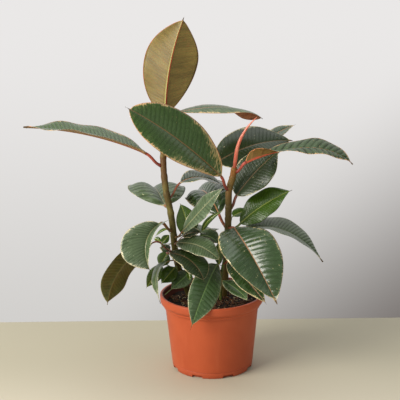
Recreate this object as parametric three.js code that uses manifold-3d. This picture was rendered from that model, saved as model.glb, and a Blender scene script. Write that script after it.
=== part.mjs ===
// Potted variegated rubber plant (Ficus elastica) in a round grower pot.
// Millimetres, +Z up, the origin is the centre of the pot's flat underside, -Y is the front.
import * as THREE from 'three';
import { mergeVertices } from 'three/addons/utils/BufferGeometryUtils.js';
import Module from 'manifold-3d';

// Pot
const POT_HEIGHT = 112;
const RIM_RADIUS = 76;
const LIP_HEIGHT = 10;
const LIP_WIDTH = 4.5;
const LIP_ROUND = 2.4;
const BAND_RADIUS = 71.2;
const BAND_TOP = 97;
const BAND_BOTTOM = 93.5;
const WALL_RADIUS = 68.6;
const BASE_RADIUS = 59;
const WALL_THICKNESS = 2.2;
const FLOOR_THICKNESS = 4;
const STEP_HEIGHT = 1;
const POT_SIDES = 48;
const NOTCH_COUNT = 8;
const NOTCH_WIDTH = 16;
const NOTCH_HEIGHT = 3.6;
const NOTCH_DEPTH = 5;

// Clearance that touching pieces keep
const GAP = 0.3;

// Soil
const SOIL_EDGE = 99;
const SOIL_CROWN = 104;
const SOIL_SHOULDER = 7;
const SOCKET_GAP = GAP + 0.1;

// Stems, from the root ball up
const STEM_SIDES = 10;
const STEMS = {
  left: {
    radius: 4.7,
    points: [
      [-32, 24, 82], [-34, 21, 104], [-48, 12, 146], [-53, 4, 180], [-54.5, -2, 209],
      [-58, -5, 239], [-63, -5, 265], [-66, -4, 298], [-66, -2, 324], [-64, 0, 358],
    ],
  },
  right: {
    radius: 4.8,
    points: [
      [17, 14, 82], [18, 12, 104], [22, 2, 160], [25, -4, 214], [26, -4, 241],
      [27, -2, 267], [32, 0, 284], [35, 0, 299],
    ],
  },
  middle_shoot: {
    radius: 1.9,
    points: [[-11, 31, 84], [-11, 29, 104], [-13, 22, 160], [-12, 14, 194]],
  },
  front_shoot: {
    radius: 2.1,
    points: [[12, -8, 84], [13, -9, 104], [14, -12, 140], [19, -12, 166]],
  },
};

// Bud sheath on the right stem
const BUD_RADIUS = 2.4;
const BUD_TIP_RADIUS = 0.3;
const BUD_TAPER = 2.5;
const BUD_STATIONS = [0, 0.15, 0.4, 0.65, 0.85, 1];
const BUD_POINTS = [[35, 0, 299.5], [40, -2, 330], [52, -3, 355], [67, -4, 372]];

// Leaf section
const RIB_THICKNESS = 1.5;
const BLADE_THICKNESS = 0.9;
const BLADE_STATIONS = [0.01, 0.05, 0.13, 0.25, 0.4, 0.56, 0.71, 0.84, 0.93, 1];
const PETIOLE_STATIONS = [0, 0.35, 0.7];
const RING_SIDES = 8;
const DRIP_TIP_WIDTH = 0.04;
const OUTLINE_ROUNDNESS = 0.6;
const TAPER_CURVE = 2.5;

// Petioles: the thickest one's radius and the usual share of its leaf's width, how far each end's
// direction holds as a share of the length, and how much the foot leans from square to the stem
// towards its leaf
const PETIOLE_RADIUS = 2;
const PETIOLE_SHARE = 0.036;
const PETIOLE_REACH = 0.4;
const PETIOLE_LEAN = 0.6;
const STEM_SAMPLES = 200;

// Leaves. The stem and the height on it where the petiole starts; the midrib's base, middle and
// tip; the blade's width; the direction that its upper side faces; the lift in degrees of the left
// and the right half, at even steps from base to tip. Where a leaf needs them: belly moves each
// half's widest place to the tip (over 1) or the base (under 1), spread widens each half, bow arches
// both halves upward, taper narrows the far end, drip is the share of the length in the slender tip,
// and stalk is the petiole's radius.
const LEAVES = {
  leaf_top_upright: {
    stem: 'left', height: 354, rib: [[-62, 3, 377], [-54, 8, 446], [-33, 10, 512]], width: 83,
    face: [0, 1, 0], left: [28, 24, 18], right: [28, 24, 18], belly: [1.2, 1.02], taper: 0.45,
  },
  leaf_front_large: {
    stem: 'right', height: 268, rib: [[15, -14, 290], [-46, -46, 351], [-112, -72, 399]], width: 79,
    face: [0.1, -0.8, 0.6], left: [30, 16, 5], right: [5, 5, 5], belly: [1.25, 0.97],
    spread: [0.97, 1.0], taper: 0.15,
  },
  leaf_far_left: {
    stem: 'left', height: 304, rib: [[-91, -8, 323], [-172, -14, 352], [-260, -20, 364]], width: 66,
    face: [0, 0, 1], left: [16, 14, 8], right: [20, 16, 12], taper: 0.0, drip: 0.03,
  },
  leaf_back_top: {
    stem: 'left', height: 352, rib: [[-44, 14, 378], [30, 46, 379], [79, 62, 359]], width: 44,
    face: [0, -0.1, 1], left: [4, 5, -8, -50, -75], right: [-18, -16, -8, 2, 5], belly: [1.2, 1.1],
    taper: 0.15, drip: 0.03,
  },
  leaf_right_back: {
    stem: 'left', height: 330, rib: [[10, 34, 300], [66, 58, 321], [124, 76, 323]], width: 76,
    face: [0, -0.55, 0.83], left: [4, 4, 4], right: [-14, -6, 0],
  },
  leaf_right_upper: {
    stem: 'right', height: 294, rib: [[52, -6, 308], [140, -18, 330], [200, -27, 307]], width: 64,
    face: [0, 0, 1], left: [12, 14, 12], right: [85, 8, -4, -6, -8], belly: [1.35, 1.0],
  },
  leaf_back_small: {
    stem: 'right', height: 262, rib: [[60, 78, 308], [98, 96, 329], [131, 108, 342]], width: 25,
    face: [0, -0.4, 0.9], left: [8, 8, 8], right: [8, 8, 8],
  },
  leaf_right_middle: {
    stem: 'right', height: 240, rib: [[38, 4, 257], [68, 16, 291], [102, 26, 319]], width: 60,
    face: [-0.3, -0.75, 0.6], left: [8, 6, 6], right: [8, 6, 6],
  },
  leaf_left_back: {
    stem: 'left', height: 243, rib: [[-66, 8, 243], [-82, 66, 254], [-92, 125, 238]], width: 86,
    face: [0.12, -0.2, 1], left: [0, 3, 2], right: [6, 8, 6], belly: [0.9, 0.9], bow: 0.14, taper: 0.2,
    drip: 0.03,
  },
  leaf_centre_upper: {
    stem: 'left', height: 256, rib: [[-43, 8, 276], [-14, 20, 281], [20, 30, 265]], width: 42,
    face: [0, -0.2, 1], left: [10, 10, 8], right: [10, 10, 8], belly: [1.2, 1.0],
  },
  leaf_centre_back: {
    stem: 'right', height: 211, rib: [[12, 8, 229], [-8, 60, 250], [-24, 115, 232]], width: 62,
    face: [-0.35, -0.2, 0.9], left: [-5, 4, 2], right: [8, 6, 4], bow: 0.14, taper: 0.2, drip: 0.03,
  },
  leaf_centre_front: {
    stem: 'left', height: 198, rib: [[-39, -26, 214], [-11, -46, 251], [19, -52, 283]], width: 36,
    face: [-0.5, -0.7, 0.5], left: [-10, -14, -10], right: [24, 14, 20], belly: [1.0, 0.9],
  },
  leaf_left_striped: {
    stem: 'left', height: 209, rib: [[-72, -20, 223], [-91, -48, 203], [-86, -58, 164]], width: 74,
    face: [0, -0.9, 0.45], left: [70, 70, 60], right: [10, 12, 20], belly: [0.5, 1.6],
    spread: [1.0, 0.96], taper: 0.7,
  },
  leaf_left_lowest: {
    stem: 'left', height: 174, rib: [[-84, -22, 195], [-129, -36, 161], [-148, -56, 114]], width: 60,
    face: [-0.5, 0.8, 0.35], left: [-20, -10, 0], right: [10, 10, 10], belly: [1.25, 1.25], stalk: 1.2,
  },
  leaf_right_drooping: {
    stem: 'right', height: 212, rib: [[34, -20, 214], [60, -66, 182], [90, -96, 126]], width: 79,
    face: [0.2, -0.8, 0.6], left: [18, 26, 24], right: [10, 8, 6], belly: [1.0, 0.7],
    spread: [1.0, 1.0], taper: 0.4,
  },
  leaf_under_drooping: {
    stem: 'front_shoot', height: 160, rib: [[26, -20, 166], [48, -52, 150], [77, -80, 120]], width: 34,
    face: [0.1, -0.7, 0.7], left: [5, 5, 5], right: [5, 5, 5],
  },
  leaf_over_soil: {
    stem: 'front_shoot', height: 122, rib: [[17, -18, 135], [36, -38, 129], [51, -60, 119]], width: 24,
    face: [0, -0.5, 0.85], left: [5, 5, 5], right: [5, 5, 5],
  },
  leaf_over_rim_front: {
    stem: 'front_shoot', height: 146, rib: [[8, -22, 161], [-11, -67, 134], [-30, -93, 89]], width: 45,
    face: [0.3, -0.8, 0.5], left: [-5, -4, 5], right: [10, 10, 10], drip: 0.07,
  },
  leaf_centre_dark: {
    stem: 'left', height: 173, rib: [[-59, -30, 182], [-28, -52, 176], [-10, -68, 151]], width: 42,
    face: [0.3, -0.5, 0.8], left: [6, 6, 6], right: [6, 6, 6], belly: [1.15, 1.15], taper: 0.2,
  },
  leaf_centre_grey: {
    stem: 'left', height: 188, rib: [[-49, -18, 193], [-16, -42, 195], [13, -56, 177]], width: 34,
    face: [0, -0.6, 0.8], left: [6, 6, 6], right: [6, 6, 6], taper: 0.25,
  },
  leaf_centre_shadow: {
    stem: 'left', height: 191, rib: [[-40, -15, 202], [-27, -18, 208], [-14, -22, 209]], width: 19,
    face: [0, -0.5, 0.85], left: [10, 10, 10], right: [10, 10, 10],
  },
  leaf_shoot_pale: {
    stem: 'middle_shoot', height: 184, rib: [[-16, -6, 200], [-1, -12, 200], [11, -18, 191]],
    width: 25, face: [0.2, -0.8, 0.6], left: [5, 5, 5], right: [5, 5, 5],
  },
  leaf_shoot_round: {
    stem: 'middle_shoot', height: 184, rib: [[-10, 24, 193], [-6, 50, 195], [8, 80, 184]], width: 38,
    face: [0, -0.3, 1], left: [10, 10, 10], right: [10, 10, 10],
  },
  leaf_shoot_young: {
    stem: 'middle_shoot', height: 192, rib: [[-12, 6, 201], [-4, 3, 220], [20, -2, 237]], width: 9,
    face: [0.3, -0.8, 0.3], left: [20, 20, 20], right: [20, 20, 20],
  },
  leaf_shoot_upright: {
    stem: 'left', height: 188, rib: [[-36, -2, 198], [-36, 2, 222], [-44, 4, 247]], width: 30,
    face: [0.2, -0.9, 0.2], left: [8, 8, 8], right: [8, 8, 8],
  },
  leaf_right_glossy: {
    stem: 'right', height: 208, rib: [[43, 0, 216], [75, 8, 240], [119, 14, 262]], width: 44,
    face: [-0.2, -0.75, 0.65], left: [8, 8, 8], right: [8, 8, 8], belly: [1.3, 0.95],
  },
  leaf_right_hidden: {
    stem: 'right', height: 226, rib: [[33, 12, 224], [43, 18, 228], [56, 22, 231]], width: 20,
    face: [0, -0.4, 0.9], left: [8, 8, 8], right: [8, 8, 8],
  },
  leaf_right_lower: {
    stem: 'right', height: 200, rib: [[50, 4, 206], [110, 7, 202], [164, 0, 157]], width: 64,
    face: [0, 0, 1], left: [18, 18, 14], right: [4, 4, 4],
  },
  leaf_over_rim_left: {
    stem: 'left', height: 157, rib: [[-57, -14, 166], [-78, -34, 153], [-73, -56, 115]], width: 27,
    face: [-0.9, -0.45, 0.3], left: [8, 8, 8], right: [8, 8, 8], drip: 0.12,
  },
  leaf_low_left_plain: {
    stem: 'left', height: 147, rib: [[-72, -2, 154], [-83, -4, 141], [-96, -6, 121]], width: 22,
    face: [0.5, -0.8, 0.3], left: [6, 6, 6], right: [6, 6, 6],
  },
  leaf_low_left_dark: {
    stem: 'left', height: 140, rib: [[-31, -4, 144], [-46, -18, 135], [-69, -38, 120]], width: 28,
    face: [0, -0.7, 0.7], left: [6, 6, 6], right: [6, 6, 6], drip: 0.22,
  },
  leaf_left_rolled: {
    stem: 'left', height: 169, rib: [[-60, 4, 177], [-67, 6, 179], [-76, 8, 179]], width: 20,
    face: [0, -0.8, 0.6], left: [-35, -35, -35], right: [-35, -35, -35],
  },
  leaf_left_olive: {
    stem: 'left', height: 161, rib: [[-63, -6, 174], [-69, -8, 166], [-75, -8, 154]], width: 20,
    face: [-0.1, -0.9, 0.4], left: [6, 6, 6], right: [6, 6, 6],
  },
  leaf_left_small_upper: {
    stem: 'left', height: 202, rib: [[-64, -2, 209], [-72, 0, 206], [-81, 2, 198]], width: 11,
    face: [0, -0.3, 1], left: [8, 8, 8], right: [8, 8, 8],
  },
  leaf_left_small_lower: {
    stem: 'left', height: 188, rib: [[-70, -20, 194], [-65, -20, 200], [-59, -18, 206]], width: 12,
    face: [0, -0.8, 0.5], left: [8, 8, 8], right: [8, 8, 8],
  },
  leaf_sprout_upper: {
    stem: 'left', height: 182, rib: [[-46, -10, 186], [-42, -14, 190], [-38, -16, 192]], width: 8,
    face: [0, -0.5, 0.9], left: [10, 10, 10], right: [10, 10, 10],
  },
  leaf_sprout_lower: {
    stem: 'left', height: 149, rib: [[-34, -18, 151], [-32, -22, 145], [-31, -25, 138]], width: 9,
    face: [0, -0.8, 0.5], left: [10, 10, 10], right: [10, 10, 10],
  },
  leaf_low_left_bright: {
    stem: 'left', height: 146, rib: [[-53, -6, 153], [-62, -14, 144], [-73, -20, 133]], width: 26,
    face: [0, -0.7, 0.7], left: [6, 6, 6], right: [6, 6, 6],
  },
  leaf_left_small_tip: {
    stem: 'left', height: 187, rib: [[-73, 0, 189], [-78, 2, 193], [-83, 4, 194]], width: 9,
    face: [0, -0.8, 0.5], left: [8, 8, 8], right: [8, 8, 8],
  },
  leaf_shoot_behind: {
    stem: 'left', height: 194, rib: [[-33, 10, 205], [-28, 10, 216], [-23, 12, 232]], width: 21,
    face: [0, -0.9, 0.2], left: [8, 8, 8], right: [8, 8, 8],
  },
  leaf_shoot_front: {
    stem: 'front_shoot', height: 156, rib: [[12, -10, 158], [11, -9, 174], [12, -7, 194]], width: 13,
    face: [0, -0.9, 0.2], left: [10, 10, 10], right: [10, 10, 10],
  },
};

const COLOURS = {
  pot: '#b5603a', soil: '#3a2a20', stem: '#7a5a3c', shoot: '#5d7a32', bud: '#c4573a', leaf: '#4f6b3c',
};

const MERGE_TOLERANCE = 1e-4;
const wasm = await Module();
wasm.setup();

function vector([x, y, z]) {
  return new THREE.Vector3(x, y, z);
}

function material(colour, roughness) {
  return new THREE.MeshStandardMaterial({ color: colour, roughness, metalness: 0 });
}

function toSolid(geometry) {
  const bare = geometry.index ? geometry.toNonIndexed() : geometry.clone();
  bare.deleteAttribute('normal');
  bare.deleteAttribute('uv');
  const merged = mergeVertices(bare, MERGE_TOLERANCE);
  return new wasm.Manifold(new wasm.Mesh({
    numProp: 3,
    vertProperties: new Float32Array(merged.attributes.position.array),
    triVerts: new Uint32Array(merged.index.array),
  }));
}

function toGeometry(solid) {
  const mesh = solid.getMesh();
  const geometry = new THREE.BufferGeometry();
  geometry.setAttribute('position', new THREE.BufferAttribute(mesh.vertProperties, 3));
  geometry.setIndex(new THREE.BufferAttribute(mesh.triVerts, 1));
  geometry.computeVertexNormals();
  return geometry;
}

// A closed skin over rings that all have the same number of points, capped at both ends.
function skin(rings) {
  const sides = rings[0].length;
  const positions = [];
  for (const ring of rings) {
    for (const point of ring) positions.push(point.x, point.y, point.z);
  }
  const faces = [];
  for (let row = 0; row + 1 < rings.length; row += 1) {
    for (let side = 0; side < sides; side += 1) {
      const a = row * sides + side;
      const b = row * sides + ((side + 1) % sides);
      faces.push(a, b, a + sides, b, b + sides, a + sides);
    }
  }
  const last = (rings.length - 1) * sides;
  for (let side = 1; side + 1 < sides; side += 1) {
    faces.push(0, side + 1, side);
    faces.push(last, last + side, last + side + 1);
  }
  const geometry = new THREE.BufferGeometry();
  geometry.setAttribute('position', new THREE.Float32BufferAttribute(positions, 3));
  geometry.setIndex(faces);
  geometry.computeVertexNormals();
  return geometry;
}

// Pot: a lathed shell with a thick lip, a band with a step under it and a tapering wall.
function potGeometry() {
  const profile = [
    [0, 0], [BASE_RADIUS, 0], [WALL_RADIUS, BAND_BOTTOM - STEP_HEIGHT], [BAND_RADIUS, BAND_BOTTOM],
    [BAND_RADIUS, BAND_TOP], [RIM_RADIUS - LIP_ROUND / 4, POT_HEIGHT - LIP_HEIGHT],
    [RIM_RADIUS, POT_HEIGHT - LIP_ROUND], [RIM_RADIUS - LIP_ROUND / 3, POT_HEIGHT - LIP_ROUND / 3],
    [RIM_RADIUS - LIP_ROUND, POT_HEIGHT], [RIM_RADIUS - LIP_WIDTH, POT_HEIGHT - LIP_ROUND / 2],
    [BAND_RADIUS - WALL_THICKNESS, BAND_TOP + STEP_HEIGHT],
    [WALL_RADIUS - WALL_THICKNESS, BAND_BOTTOM - STEP_HEIGHT],
    [BASE_RADIUS - WALL_THICKNESS, FLOOR_THICKNESS], [0, FLOOR_THICKNESS],
  ].map(([radius, height]) => new THREE.Vector2(radius, height));
  const shell = new THREE.LatheGeometry(profile, POT_SIDES);
  shell.rotateX(Math.PI / 2);
  let solid = toSolid(shell);
  for (let notch = 0; notch < NOTCH_COUNT; notch += 1) {
    const cutter = new THREE.BoxGeometry(NOTCH_DEPTH * 2, NOTCH_WIDTH, NOTCH_HEIGHT * 2);
    cutter.translate(BASE_RADIUS, 0, 0);
    cutter.rotateZ(((notch + 0.5) / NOTCH_COUNT) * Math.PI * 2);
    solid = solid.subtract(toSolid(cutter));
  }
  return toGeometry(solid);
}

function stemCurve(name) {
  return new THREE.CatmullRomCurve3(STEMS[name].points.map(vector));
}

// A round tube along a stem's curve; grow widens it, to cut its hole in the soil.
function stemGeometry(name, grow = 0) {
  const circle = new THREE.Shape();
  circle.absarc(0, 0, STEMS[name].radius + grow, 0, Math.PI * 2);
  const outline = new THREE.Shape(circle.getSpacedPoints(STEM_SIDES).slice(0, STEM_SIDES));
  return new THREE.ExtrudeGeometry(outline, {
    steps: STEMS[name].points.length * 2,
    extrudePath: stemCurve(name),
    bevelEnabled: false,
  });
}

// Soil: fills the pot from its floor to just under the lip, with a socket round every stem. Each
// socket is cut twice, the second time a little lower, so that the stem's foot is clear too.
function soilGeometry() {
  const bottom = FLOOR_THICKNESS + GAP;
  const top = BAND_BOTTOM - 2 * STEP_HEIGHT;
  const widening = (WALL_RADIUS - BASE_RADIUS) * ((top - bottom) / BAND_BOTTOM);
  const foot = BASE_RADIUS - WALL_THICKNESS - GAP;
  const profile = [
    [0, bottom], [foot, bottom], [foot + widening, top],
    [BAND_RADIUS - WALL_THICKNESS - STEP_HEIGHT, SOIL_EDGE - 1],
    [BAND_RADIUS - SOIL_SHOULDER, SOIL_EDGE + 1],
    [BAND_RADIUS / 2, SOIL_CROWN - 1], [0, SOIL_CROWN],
  ].map(([radius, height]) => new THREE.Vector2(radius, height));
  const plug = new THREE.LatheGeometry(profile, POT_SIDES);
  plug.rotateX(Math.PI / 2);
  let solid = toSolid(plug);
  for (const name of Object.keys(STEMS)) {
    const socket = stemGeometry(name, SOCKET_GAP);
    solid = solid.subtract(toSolid(socket));
    solid = solid.subtract(toSolid(socket.translate(0, 0, -SOCKET_GAP)));
  }
  return toGeometry(solid);
}

function ringRound(centre, side, up, radius) {
  const ring = [];
  for (let corner = 0; corner < RING_SIDES; corner += 1) {
    const turn = Math.PI - (corner / RING_SIDES) * Math.PI * 2;
    ring.push(centre.clone()
      .addScaledVector(side, radius * Math.cos(turn))
      .addScaledVector(up, radius * Math.sin(turn)));
  }
  return ring;
}

// Bud sheath: a slim, slightly curved cone that stands on the end of the right stem.
function budGeometry() {
  const curve = new THREE.CatmullRomCurve3(BUD_POINTS.map(vector));
  const rings = BUD_STATIONS.map((along) => {
    const tangent = curve.getTangentAt(along);
    const side = new THREE.Vector3(0, -1, 0).cross(tangent).normalize();
    const up = new THREE.Vector3().crossVectors(side, tangent);
    const radius = BUD_RADIUS * (1 - along ** BUD_TAPER) + BUD_TIP_RADIUS;
    return ringRound(curve.getPointAt(along), side, up, radius);
  });
  return skin(rings);
}

// The value at a station, between values that stand at even steps along the leaf.
function spaced(values, station) {
  const place = station * (values.length - 1);
  const index = Math.min(Math.floor(place), values.length - 2);
  return THREE.MathUtils.lerp(values[index], values[index + 1], place - index);
}

// A blade half's width at a station, as a share of its widest: an ellipse with a slender drip tip.
function outline(station, belly, taper, drip) {
  const body = Math.min(station ** belly / (1 - drip), 1);
  const narrowing = 1 - taper * Math.max(0, 2 * body - 1) ** TAPER_CURVE;
  const round = (4 * body * (1 - body)) ** OUTLINE_ROUNDNESS * narrowing;
  const slender = station > 0.5 ? DRIP_TIP_WIDTH : 0;
  return Math.max(round, slender);
}

// The side and upper directions of a leaf where its axis runs along the tangent.
function leafFrame(tangent, face) {
  const up = vector(face).addScaledVector(tangent, -vector(face).dot(tangent)).normalize();
  const side = new THREE.Vector3().crossVectors(tangent, up);
  return { side, up };
}

// A leaf is one skin: round petiole rings, then blade rings with a ridge along the midrib.
function leafGeometry(leaf) {
  const [base, middle, tip] = leaf.rib.map(vector);
  const control = middle.clone().multiplyScalar(2).addScaledVector(base, -0.5).addScaledVector(tip, -0.5);
  const rib = new THREE.QuadraticBezierCurve3(base, control, tip);
  const stem = stemCurve(leaf.stem);
  const stations = stem.getSpacedPoints(STEM_SAMPLES);
  const joint = stations.reduce((best, point) => (
    Math.abs(point.z - leaf.height) < Math.abs(best.z - leaf.height) ? point : best
  ));
  const along = stem.getTangentAt(stations.indexOf(joint) / STEM_SAMPLES);
  const towards = base.clone().sub(joint).normalize();
  const out = towards.clone().addScaledVector(along, -towards.dot(along)).normalize();
  const leave = out.clone().lerp(towards, PETIOLE_LEAN).normalize();
  const petioleRadius = leaf.stalk ?? Math.min(PETIOLE_RADIUS, leaf.width * PETIOLE_SHARE);
  const tilt = petioleRadius * Math.abs(leave.dot(along));
  const start = joint.clone().addScaledVector(out, STEMS[leaf.stem].radius + GAP + tilt);
  const reach = start.distanceTo(base) * PETIOLE_REACH;
  const petiole = new THREE.CubicBezierCurve3(
    start,
    start.clone().addScaledVector(leave, reach),
    base.clone().addScaledVector(rib.getTangent(0), -reach),
    base,
  );
  const rings = PETIOLE_STATIONS.map((station) => {
    const frame = leafFrame(petiole.getTangent(station), leaf.face);
    return ringRound(petiole.getPoint(station), frame.side, frame.up, petioleRadius);
  });
  const { belly = [1, 1], spread = [1, 1], bow = 0, taper = 0.55, drip = 0.045 } = leaf;
  BLADE_STATIONS.forEach((station) => {
    const frame = leafFrame(rib.getTangent(station), leaf.face);
    const centre = rib.getPoint(station);
    const halves = [0, 1].map((half) => Math.max(
      (leaf.width / 2) * spread[half] * outline(station, belly[half], taper, drip),
      petioleRadius * (1 - station),
    ));
    const blade = (across, thick) => {
      const lift = THREE.MathUtils.degToRad(spaced(across < 0 ? leaf.left : leaf.right, station));
      const half = across < 0 ? halves[0] : halves[1];
      const reachOut = across * half;
      const bulge = bow * half * Math.sin(Math.PI * Math.abs(across));
      return centre.clone()
        .addScaledVector(frame.side, reachOut * Math.cos(lift))
        .addScaledVector(frame.up, Math.abs(reachOut) * Math.sin(lift) + bulge + thick);
    };
    const thin = BLADE_THICKNESS / 2;
    const thick = RIB_THICKNESS / 2;
    rings.push([
      blade(-1, 0), blade(-0.5, thin), blade(0, thin), blade(0.5, thin),
      blade(1, 0), blade(0.5, -thin), blade(0, -thick), blade(-0.5, -thin),
    ]);
  });
  return skin(rings);
}

const plant = new THREE.Group();

function addPart(name, geometry, colour, roughness) {
  const mesh = new THREE.Mesh(geometry, material(colour, roughness));
  mesh.name = name;
  plant.add(mesh);
}

addPart('pot', potGeometry(), COLOURS.pot, 0.55);
addPart('soil', soilGeometry(), COLOURS.soil, 0.95);
for (const name of Object.keys(STEMS)) {
  const colour = name.endsWith('shoot') ? COLOURS.shoot : COLOURS.stem;
  addPart(name.endsWith('shoot') ? name : `stem_${name}`, stemGeometry(name), colour, 0.7);
}
addPart('bud_sheath', budGeometry(), COLOURS.bud, 0.45);
for (const [name, leaf] of Object.entries(LEAVES)) {
  addPart(name, leafGeometry(leaf), COLOURS.leaf, 0.35);
}

export default plant;
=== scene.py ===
"""Looks of the potted variegated rubber plant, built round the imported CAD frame."""

import math
import random

import bpy
from mathutils import Matrix, Vector, noise


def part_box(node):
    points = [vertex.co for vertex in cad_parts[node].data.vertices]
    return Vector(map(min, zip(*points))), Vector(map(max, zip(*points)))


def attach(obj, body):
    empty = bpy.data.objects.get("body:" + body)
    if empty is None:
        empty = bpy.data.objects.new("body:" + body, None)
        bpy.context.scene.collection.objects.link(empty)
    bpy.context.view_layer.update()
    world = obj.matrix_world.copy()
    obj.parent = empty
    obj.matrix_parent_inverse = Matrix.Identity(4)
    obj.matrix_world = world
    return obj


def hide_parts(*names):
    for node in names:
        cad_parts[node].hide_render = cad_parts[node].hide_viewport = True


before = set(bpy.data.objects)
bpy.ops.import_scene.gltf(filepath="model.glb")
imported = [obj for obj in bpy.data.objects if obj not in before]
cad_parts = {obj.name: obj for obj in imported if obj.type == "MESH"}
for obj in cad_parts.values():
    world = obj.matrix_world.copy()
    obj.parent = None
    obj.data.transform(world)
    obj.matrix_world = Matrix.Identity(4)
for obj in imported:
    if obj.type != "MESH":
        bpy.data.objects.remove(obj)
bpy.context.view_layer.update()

MM = 0.001

# Pot, as in the CAD
POT_LOW, POT_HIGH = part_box("pot")
POT_HEIGHT = POT_HIGH[2]
RIM_RADIUS = (POT_HIGH[0] - POT_LOW[0]) / 2
BAND_RADIUS = RIM_RADIUS - 4.8 * MM
BAND_TOP = POT_HEIGHT - 15 * MM
BAND_BOTTOM = POT_HEIGHT - 18.5 * MM
WALL_RADIUS = BAND_RADIUS - 2.6 * MM
BASE_RADIUS = RIM_RADIUS - 17 * MM
POT_SIDES = 160
NOTCH_COUNT = 8
NOTCH_HALF_WIDTH = 8 * MM
NOTCH_HEIGHT = 4.5 * MM
NOTCH_DEPTH = 5 * MM
FLOOR_THICKNESS = 6 * MM
WALL_THICKNESS = 2.2 * MM

# Soil
SOIL_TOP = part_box("soil")[1][2]
SOIL_RADIUS = RIM_RADIUS - 6.6 * MM
SOIL_RINGS = 46
SOIL_SIDES = 120

# Stems: radius at the foot and at the top, and the centre line, in millimetres
STEMS = {
    "stem_left": dict(radius=(5.0, 4.4), nodes=9, points=[
        (-34, 21, 98), (-34, 21, 104), (-48, 12, 146), (-53, 4, 180), (-54.5, -2, 209),
        (-58, -5, 239), (-63, -5, 265), (-66, -4, 298), (-66, -2, 324), (-64, 0, 358)]),
    "stem_right": dict(radius=(5.2, 4.5), nodes=8, points=[
        (18, 13, 98), (18, 12, 104), (22, 2, 160), (25, -4, 214), (26, -4, 241),
        (27, -2, 267), (32, 0, 284), (35, 0, 299)]),
    "middle_shoot": dict(radius=(2.2, 1.6), nodes=4, points=[
        (-11, 30, 98), (-11, 29, 104), (-13, 22, 160), (-12, 14, 194)]),
    "front_shoot": dict(radius=(2.4, 1.8), nodes=4, points=[
        (12, -8, 98), (13, -9, 104), (14, -12, 140), (19, -12, 166)]),
}
BUD_POINTS = [(35, 0, 297), (40, -2, 330), (52, -3, 355), (67, -4, 372)]
BUD_RADIUS = 2.4

# Petioles: how far each end's direction holds, as a share of the petiole's length, how much the
# foot leans from square to the stem towards its leaf, and the radius as a share of the leaf's width
PETIOLE_REACH = 0.4
PETIOLE_LEAN = 0.6
PETIOLE_SHARE = 0.036
PETIOLE_WIDEST = 2.1
PETIOLE_ROWS = 12
STEM_SAMPLES = 300

# Blades: the width from which ribs and waves are full, half the thickness, the midrib's groove above
# and keel below, the slant of the lateral veins, how many a leaf has, and how far every half bows
LARGE_WIDTH = 60
HALF_THICKNESS = 0.25
MIDRIB_GROOVE = 0.35
MIDRIB_KEEL = 1.2
VEIN_SLANT = 0.38
VEIN_PAIRS = 24
LEAST_BOW = 0.035

# UV maps hold shares, so millimetres are divided by these on the way in
FLAT_SPAN = 100.0
EDGE_SPAN = 50.0
SEED_SPAN = 10.0

# Leaves, in millimetres and degrees: what a leaf has where its row doesn't say otherwise. Pairs are
# for the left and right half. lift is how far the halves rise, at places spaced evenly from base to
# tip; left and right say it where the halves differ.
# groove is how dark the painted shade in the vein grooves is.
USUAL_LEAF = dict(lift=(8, 8, 8), belly=(1, 1), spread=(1, 1), taper=0.55, drip=0.045, bow=0.0,
                  groove=0.35, calm=1.0, teeth=())


def leaf_row(stem, height, width, kind, face, rib, **others):
    """One leaf: its stem, the petiole's height, its widest, its kind of looks, the way that its upper
    side looks, and the midrib's base, middle and tip."""
    return dict(USUAL_LEAF, stem=stem, height=height, width=width, kind=kind, face=face, rib=rib, **others)


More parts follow.
